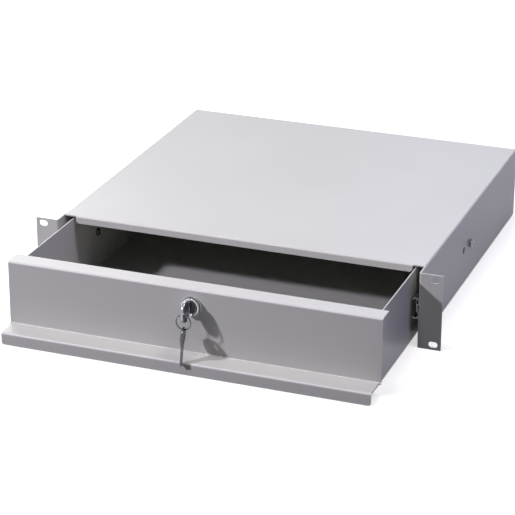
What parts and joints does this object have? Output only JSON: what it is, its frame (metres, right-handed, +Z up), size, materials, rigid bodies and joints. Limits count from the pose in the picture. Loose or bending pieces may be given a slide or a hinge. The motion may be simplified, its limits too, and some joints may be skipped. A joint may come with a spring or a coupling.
{
  "type": "sliding rack drawer",
  "caption": "Lockable sheet-steel drawer on ball slides in a casing with slotted rack ears; projecting ledge handle, cam lock with key and hanging spare key.",
  "frame": {"origin": "middle of the four rack-ear slots, on the ears' rear face, which bears on the rack", "axes": "+X to the right seen from the front, +Y into the rack, +Z up"},
  "size_m": [0.4826, 0.5859, 0.0882],
  "materials": {
    "paint": "light grey satin powder coat with a very fine texture",
    "zinc": "zinc-plated steel strip",
    "screw_zinc": "bright zinc-plated fasteners",
    "buffer_rubber": "black rubber",
    "cage_steel": "plain steel strip",
    "ball_steel": "polished steel balls",
    "lock_chrome": "bright nickel-chrome lock head",
    "lock_plug_steel": "nickel-plated plug",
    "key_nickel": "nickel-plated stamped key",
    "ring_steel": "steel split ring"
  },
  "bodies": {
    "casing": {"casing_shell": "paint", "rear_panel": "paint", "casing_rail_right": "zinc", "casing_rail_left": "zinc", "casing_rail_screws": "screw_zinc", "rail_buffers": "buffer_rubber"},
    "drawer": {"drawer_front": "paint", "drawer_tray": "paint", "tray_rear_wall": "paint", "front_nuts": "screw_zinc", "drawer_rail_right": "zinc", "drawer_rail_left": "zinc", "drawer_rail_screws": "screw_zinc", "lock_housing": "lock_chrome", "lock_washer": "screw_zinc", "lock_nut": "screw_zinc"},
    "cage_right": {"ball_cage_right": "cage_steel", "balls_right": "ball_steel"},
    "cage_left": {"ball_cage_left": "cage_steel", "balls_left": "ball_steel"},
    "lock_core": {"lock_plug": "lock_plug_steel", "lock_cam": "zinc", "cam_screw": "screw_zinc"},
    "key_in_lock": {"key": "key_nickel"},
    "ring": {"key_ring": "ring_steel"},
    "key_on_ring": {"spare_key": "key_nickel"}
  },
  "joints": [
    {"name": "drawer_slide", "type": "slide", "parent": "casing", "child": "drawer", "axis": [0, -1, 0], "range_m": [-0.125, 0.155]},
    {"name": "cage_right_roll", "type": "slide", "parent": "casing", "child": "cage_right", "axis": [0, -1, 0], "range_m": [-0.0625, 0.0775]},
    {"name": "cage_left_roll", "type": "slide", "parent": "casing", "child": "cage_left", "axis": [0, -1, 0], "range_m": [-0.0625, 0.0775]},
    {"name": "lock_turn", "type": "hinge", "parent": "drawer", "child": "lock_core", "pos_m": [0.0025, -0.1355, 0.025], "axis": [0, 1, 0], "range_deg": [0, 90]},
    {"name": "key_pull", "type": "slide", "parent": "lock_core", "child": "key_in_lock", "axis": [0, -1, 0], "range_m": [0, 0.026]},
    {"name": "ring_swing", "type": "hinge", "parent": "key_in_lock", "child": "ring", "pos_m": [0.0025, -0.1527, 0.025], "axis": [-1, 0, 0], "range_deg": [0, 50]},
    {"name": "spare_key_swing", "type": "hinge", "parent": "ring", "child": "key_on_ring", "pos_m": [0.0025, -0.15298, 0.00593], "axis": [-0.9781, -0.2034, 0.0432], "range_deg": [0, 60]}
  ],
  "couplings": [
    {"joint": "cage_right_roll", "follows": "drawer_slide", "ratio": 0.5},
    {"joint": "cage_left_roll", "follows": "drawer_slide", "ratio": 0.5}
  ]
}
